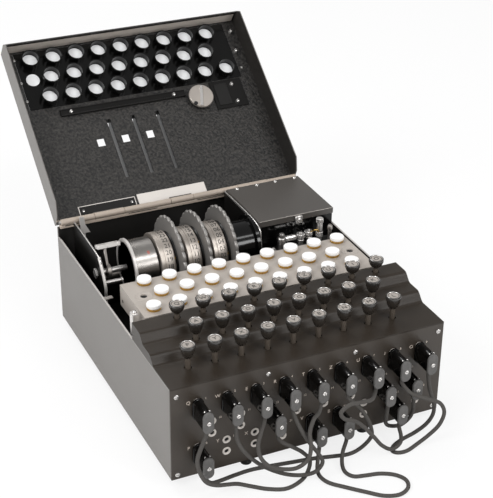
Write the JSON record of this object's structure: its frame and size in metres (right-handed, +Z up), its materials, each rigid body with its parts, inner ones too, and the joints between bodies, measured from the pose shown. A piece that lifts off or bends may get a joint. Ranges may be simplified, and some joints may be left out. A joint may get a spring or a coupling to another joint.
{
  "type": "rotor cipher machine",
  "caption": "Rotor cipher machine in a low metal case with an open lid, keys, lamps, three turning rotors and a plugboard with looped patch leads.",
  "frame": {"origin": "on the ground under the middle of the open machine, leads and plugs left out", "axes": "+X to the right seen from the operator, +Y from the plugboard to the back, +Z up"},
  "size_m": [0.265, 0.5554, 0.2515],
  "materials": {
    "case_paint": "satin grey paint",
    "cover_paint": "satin dark brown-grey paint",
    "panel_paint": "satin beige-grey paint",
    "lid_paint": "black crinkle paint",
    "dark_paint": "satin dark grey paint",
    "rubber": "matte",
    "plug_black": "glossy black moulding",
    "lead_cover": "woven cover",
    "socket_ring": "turned",
    "steel": "brushed",
    "bright_steel": "worn bright plating",
    "brass": "aged brass",
    "bulb_glass": "frosted",
    "window_glass": "frosted",
    "hinge_paint": "worn beige paint",
    "wheel_grey": "grey hard plastic look with bright worn teeth",
    "ring_metal": "brushed with dark characters",
    "ebonite": "polished black",
    "battery_case": "card wrapped",
    "key_body": "dark ring with a pale dial and a brownish stem"
  },
  "bodies": {
    "base": {"base_case": "case_paint", "case_feet": "rubber", "key_cover": "cover_paint", "plugboard_panel": "cover_paint", "plug_sockets": "socket_ring", "patch_plugs": "plug_black", "patch_leads": "lead_cover", "fasteners": "bright_steel", "lamp_panel": "panel_paint", "lamp_collars": "brass", "lamp_bulbs": "bulb_glass", "battery_box": "ebonite", "battery_cover": "dark_paint", "battery": "battery_case", "terminal_posts": "steel", "rotor_frame": "dark_paint", "rotor_axle": "steel", "entry_disc": "ebonite", "lid_hinge": "hinge_paint"},
    "lid": {"lid": "lid_paint", "lid_fittings": "dark_paint"},
    "lamp_flap": {"lamp_flap": "lid_paint", "window_lenses": "window_glass"},
    "locking_knob": {"locking_knob": "bright_steel"},
    "rotor_left": {"rotor_left_wheel": "wheel_grey", "rotor_left_ring": "ring_metal"},
    "rotor_middle": {"rotor_middle_wheel": "wheel_grey", "rotor_middle_ring": "ring_metal"},
    "rotor_right": {"rotor_right_wheel": "wheel_grey", "rotor_right_ring": "ring_metal"},
    "reflector_lever": {"reflector_lever": "steel"},
    "reflector": {"reflector": "bright_steel"},
    "power_switch": {"power_switch": "steel"},
    "stepping_bar": {"stepping_bar": "steel"},
    "key_q": {"key_q": "key_body"},
    "key_w": {"key_w": "key_body"},
    "key_e": {"key_e": "key_body"},
    "key_r": {"key_r": "key_body"},
    "key_t": {"key_t": "key_body"},
    "key_z": {"key_z": "key_body"},
    "key_u": {"key_u": "key_body"},
    "key_i": {"key_i": "key_body"},
    "key_o": {"key_o": "key_body"},
    "key_a": {"key_a": "key_body"},
    "key_s": {"key_s": "key_body"},
    "key_d": {"key_d": "key_body"},
    "key_f": {"key_f": "key_body"},
    "key_g": {"key_g": "key_body"},
    "key_h": {"key_h": "key_body"},
    "key_j": {"key_j": "key_body"},
    "key_k": {"key_k": "key_body"},
    "key_p": {"key_p": "key_body"},
    "key_y": {"key_y": "key_body"},
    "key_x": {"key_x": "key_body"},
    "key_c": {"key_c": "key_body"},
    "key_v": {"key_v": "key_body"},
    "key_b": {"key_b": "key_body"},
    "key_n": {"key_n": "key_body"},
    "key_m": {"key_m": "key_body"},
    "key_l": {"key_l": "key_body"}
  },
  "joints": [
    {"name": "lid_swing", "type": "hinge", "parent": "base", "child": "lid", "pos_m": [0, 0.0634, 0.1162], "axis": [1, 0, 0], "range_deg": [0, 142]},
    {"name": "lamp_flap_swing", "type": "hinge", "parent": "lid", "child": "lamp_flap", "pos_m": [0, 0.17632, 0.1864], "axis": [-1, 0, 0], "range_deg": [0, 95]},
    {"name": "knob_turn", "type": "hinge", "parent": "lid", "child": "locking_knob", "pos_m": [0.0623, 0.15975, 0.18031], "axis": [0, 0.6157, -0.788], "range_deg": [0, 90]},
    {"name": "rotor_left_turn", "type": "hinge", "parent": "base", "child": "rotor_left", "pos_m": [-0.0441, -0.014, 0.097], "axis": [1, 0, 0], "continuous": true},
    {"name": "rotor_middle_turn", "type": "hinge", "parent": "base", "child": "rotor_middle", "pos_m": [-0.0169, -0.014, 0.097], "axis": [1, 0, 0], "continuous": true},
    {"name": "rotor_right_turn", "type": "hinge", "parent": "base", "child": "rotor_right", "pos_m": [0.0103, -0.014, 0.097], "axis": [1, 0, 0], "continuous": true},
    {"name": "reflector_lever_turn", "type": "hinge", "parent": "base", "child": "reflector_lever", "pos_m": [-0.1085, -0.014, 0.097], "axis": [-1, 0, 0], "range_deg": [0, 41]},
    {"name": "reflector_slide", "type": "slide", "parent": "base", "child": "reflector", "axis": [-1, 0, 0], "range_m": [0, 0.003]},
    {"name": "power_switch_turn", "type": "hinge", "parent": "base", "child": "power_switch", "pos_m": [0.0675, -0.032, 0.098], "axis": [0, 0, -1], "range_deg": [0, 90]},
    {"name": "stepping_bar_rock", "type": "hinge", "parent": "base", "child": "stepping_bar", "pos_m": [-0.0375, 0.027, 0.066], "axis": [1, 0, 0], "range_deg": [0, 4], "stiffness_Nm_per_rad": 0.2, "springref_deg": -14.9},
    {"name": "key_q_press", "type": "slide", "parent": "base", "child": "key_q", "axis": [0, 0, -1], "range_m": [0, 0.005], "stiffness_N_per_m": 150, "springref_m": -0.003},
    {"name": "key_w_press", "type": "slide", "parent": "base", "child": "key_w", "axis": [0, 0, -1], "range_m": [0, 0.005], "stiffness_N_per_m": 150, "springref_m": -0.003},
    {"name": "key_e_press", "type": "slide", "parent": "base", "child": "key_e", "axis": [0, 0, -1], "range_m": [0, 0.005], "stiffness_N_per_m": 150, "springref_m": -0.003},
    {"name": "key_r_press", "type": "slide", "parent": "base", "child": "key_r", "axis": [0, 0, -1], "range_m": [0, 0.005], "stiffness_N_per_m": 150, "springref_m": -0.003},
    {"name": "key_t_press", "type": "slide", "parent": "base", "child": "key_t", "axis": [0, 0, -1], "range_m": [0, 0.005], "stiffness_N_per_m": 150, "springref_m": -0.003},
    {"name": "key_z_press", "type": "slide", "parent": "base", "child": "key_z", "axis": [0, 0, -1], "range_m": [0, 0.005], "stiffness_N_per_m": 150, "springref_m": -0.003},
    {"name": "key_u_press", "type": "slide", "parent": "base", "child": "key_u", "axis": [0, 0, -1], "range_m": [0, 0.005], "stiffness_N_per_m": 150, "springref_m": -0.003},
    {"name": "key_i_press", "type": "slide", "parent": "base", "child": "key_i", "axis": [0, 0, -1], "range_m": [0, 0.005], "stiffness_N_per_m": 150, "springref_m": -0.003},
    {"name": "key_o_press", "type": "slide", "parent": "base", "child": "key_o", "axis": [0, 0, -1], "range_m": [0, 0.005], "stiffness_N_per_m": 150, "springref_m": -0.003},
    {"name": "key_a_press", "type": "slide", "parent": "base", "child": "key_a", "axis": [0, 0, -1], "range_m": [0, 0.005], "stiffness_N_per_m": 150, "springref_m": -0.003},
    {"name": "key_s_press", "type": "slide", "parent": "base", "child": "key_s", "axis": [0, 0, -1], "range_m": [0, 0.005], "stiffness_N_per_m": 150, "springref_m": -0.003},
    {"name": "key_d_press", "type": "slide", "parent": "base", "child": "key_d", "axis": [0, 0, -1], "range_m": [0, 0.005], "stiffness_N_per_m": 150, "springref_m": -0.003},
    {"name": "key_f_press", "type": "slide", "parent": "base", "child": "key_f", "axis": [0, 0, -1], "range_m": [0, 0.005], "stiffness_N_per_m": 150, "springref_m": -0.003},
    {"name": "key_g_press", "type": "slide", "parent": "base", "child": "key_g", "axis": [0, 0, -1], "range_m": [0, 0.005], "stiffness_N_per_m": 150, "springref_m": -0.003},
    {"name": "key_h_press", "type": "slide", "parent": "base", "child": "key_h", "axis": [0, 0, -1], "range_m": [0, 0.005], "stiffness_N_per_m": 150, "springref_m": -0.003},
    {"name": "key_j_press", "type": "slide", "parent": "base", "child": "key_j", "axis": [0, 0, -1], "range_m": [0, 0.005], "stiffness_N_per_m": 150, "springref_m": -0.003},
    {"name": "key_k_press", "type": "slide", "parent": "base", "child": "key_k", "axis": [0, 0, -1], "range_m": [0, 0.005], "stiffness_N_per_m": 150, "springref_m": -0.003},
    {"name": "key_p_press", "type": "slide", "parent": "base", "child": "key_p", "axis": [0, 0, -1], "range_m": [0, 0.005], "stiffness_N_per_m": 150, "springref_m": -0.003},
    {"name": "key_y_press", "type": "slide", "parent": "base", "child": "key_y", "axis": [0, 0, -1], "range_m": [0, 0.005], "stiffness_N_per_m": 150, "springref_m": -0.003},
    {"name": "key_x_press", "type": "slide", "parent": "base", "child": "key_x", "axis": [0, 0, -1], "range_m": [0, 0.005], "stiffness_N_per_m": 150, "springref_m": -0.003},
    {"name": "key_c_press", "type": "slide", "parent": "base", "child": "key_c", "axis": [0, 0, -1], "range_m": [0, 0.005], "stiffness_N_per_m": 150, "springref_m": -0.003},
    {"name": "key_v_press", "type": "slide", "parent": "base", "child": "key_v", "axis": [0, 0, -1], "range_m": [0, 0.005], "stiffness_N_per_m": 150, "springref_m": -0.003},
    {"name": "key_b_press", "type": "slide", "parent": "base", "child": "key_b", "axis": [0, 0, -1], "range_m": [0, 0.005], "stiffness_N_per_m": 150, "springref_m": -0.003},
    {"name": "key_n_press", "type": "slide", "parent": "base", "child": "key_n", "axis": [0, 0, -1], "range_m": [0, 0.005], "stiffness_N_per_m": 150, "springref_m": -0.003},
    {"name": "key_m_press", "type": "slide", "parent": "base", "child": "key_m", "axis": [0, 0, -1], "range_m": [0, 0.005], "stiffness_N_per_m": 150, "springref_m": -0.003},
    {"name": "key_l_press", "type": "slide", "parent": "base", "child": "key_l", "axis": [0, 0, -1], "range_m": [0, 0.005], "stiffness_N_per_m": 150, "springref_m": -0.003}
  ],
  "couplings": [
    {"joint": "reflector_lever_turn", "follows": "reflector_slide", "rad_per_m": 232.56}
  ]
}
